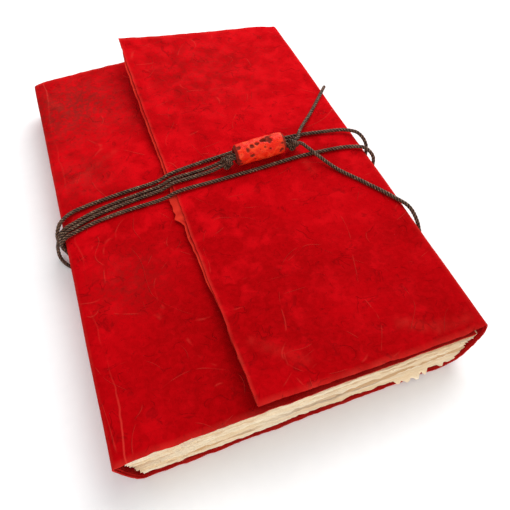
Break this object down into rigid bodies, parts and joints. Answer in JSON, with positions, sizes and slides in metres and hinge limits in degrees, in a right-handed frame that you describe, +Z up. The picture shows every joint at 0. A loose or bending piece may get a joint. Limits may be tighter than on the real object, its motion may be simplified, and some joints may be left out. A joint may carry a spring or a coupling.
{
  "type": "pocket notebook",
  "caption": "Closed wrap-around journal in red handmade paper: soft cover with a fore-edge flap, deckled sewn leaves, and a tied cord with a pitted coral bead.",
  "frame": {"origin": "centre of the closed notebook's footprint, on the table under the back cover", "axes": "+X from the spine to the fore-edge, +Y along the spine from tail to head, +Z up through the front cover"},
  "size_m": [0.117, 0.17, 0.0258],
  "materials": {
    "cover_paper": "matte",
    "lining_paper": "matte",
    "page_paper": "matte",
    "sewing_thread": "matte",
    "waxed_cord": "satin",
    "coral_bead": "satin"
  },
  "bodies": {
    "back": {"back_cover_outer": "cover_paper", "back_cover_lining": "lining_paper", "section_1": "page_paper", "section_2": "page_paper", "section_3": "page_paper", "section_4": "page_paper", "thread_1": "sewing_thread", "thread_2": "sewing_thread", "thread_3": "sewing_thread", "thread_4": "sewing_thread"},
    "spine": {"spine_outer": "cover_paper", "spine_lining": "lining_paper"},
    "front_cover": {"front_cover_outer": "cover_paper", "front_cover_lining": "lining_paper"},
    "leaves_5": {"section_5": "page_paper", "thread_5": "sewing_thread"},
    "leaves_6": {"section_6": "page_paper", "thread_6": "sewing_thread"},
    "leaves_7": {"section_7": "page_paper", "thread_7": "sewing_thread"},
    "leaves_8": {"section_8": "page_paper", "thread_8": "sewing_thread"},
    "fore_edge": {"fore_edge_outer": "cover_paper", "fore_edge_lining": "lining_paper"},
    "flap": {"flap_outer": "cover_paper", "flap_lining": "lining_paper"},
    "cord": {"cord_turn_1": "waxed_cord", "cord_turn_2": "waxed_cord", "cord_tail_up": "waxed_cord", "cord_tail_down": "waxed_cord", "cord_in_bead_1": "waxed_cord", "cord_in_bead_2": "waxed_cord", "knot_left": "waxed_cord", "knot_right": "waxed_cord"},
    "bead": {"bead": "coral_bead"}
  },
  "joints": [
    {"name": "front_cover_hinge", "type": "hinge", "parent": "spine", "child": "front_cover", "pos_m": [-0.0537, 0, 0.0148], "axis": [0, -1, 0], "range_deg": [0, 105.1], "deforming": ["flap_outer", "flap_lining", "cord_turn_1", "cord_turn_2", "cord_tail_up", "cord_tail_down", "cord_in_bead_1", "cord_in_bead_2", "knot_left", "knot_right", "bead"]},
    {"name": "spine_hinge", "type": "hinge", "parent": "back", "child": "spine", "pos_m": [-0.0498, 0, 0.0003], "axis": [0, -1, 0], "range_deg": [0, 74.95]},
    {"name": "section_5_hinge", "type": "hinge", "parent": "back", "child": "leaves_5", "pos_m": [-0.0517, 0, 0.00755], "axis": [0, -1, 0], "range_deg": [0, 164.05]},
    {"name": "section_6_hinge", "type": "hinge", "parent": "back", "child": "leaves_6", "pos_m": [-0.0517, 0, 0.00755], "axis": [0, -1, 0], "range_deg": [0, 168.05]},
    {"name": "section_7_hinge", "type": "hinge", "parent": "back", "child": "leaves_7", "pos_m": [-0.0517, 0, 0.00755], "axis": [0, -1, 0], "range_deg": [0, 172.05]},
    {"name": "section_8_hinge", "type": "hinge", "parent": "back", "child": "leaves_8", "pos_m": [-0.0517, 0, 0.00755], "axis": [0, -1, 0], "range_deg": [0, 176.05]},
    {"name": "fore_edge_fold", "type": "hinge", "parent": "back", "child": "fore_edge", "pos_m": [0.0476, 0, 0.0003], "axis": [0, 1, 0], "range_deg": [0, 63.05]},
    {"name": "flap_fold", "type": "hinge", "parent": "fore_edge", "child": "flap", "pos_m": [0.0537, 0, 0.0165], "axis": [0, 1, 0], "range_deg": [0, 102.05]},
    {"name": "cord_slide", "type": "slide", "parent": "back", "child": "cord", "axis": [0, 1, 0], "range_m": [0, 0.1402]},
    {"name": "bead_spin", "type": "hinge", "parent": "cord", "child": "bead", "pos_m": [0.018, 0.0035, 0.0212], "axis": [1, 0, 0], "continuous": true}
  ],
  "couplings": [
    {"joint": "spine_hinge", "follows": "front_cover_hinge", "ratio": 0.71266},
    {"joint": "section_5_hinge", "follows": "front_cover_hinge", "ratio": 1.5604},
    {"joint": "section_6_hinge", "follows": "front_cover_hinge", "ratio": 1.5985},
    {"joint": "section_7_hinge", "follows": "front_cover_hinge", "ratio": 1.6365},
    {"joint": "section_8_hinge", "follows": "front_cover_hinge", "ratio": 1.6746},
    {"joint": "fore_edge_fold", "follows": "front_cover_hinge", "ratio": 0.59943},
    {"joint": "flap_fold", "follows": "front_cover_hinge", "ratio": 0.9705},
    {"joint": "cord_slide", "follows": "front_cover_hinge", "m_per_rad": 0.076322}
  ]
}
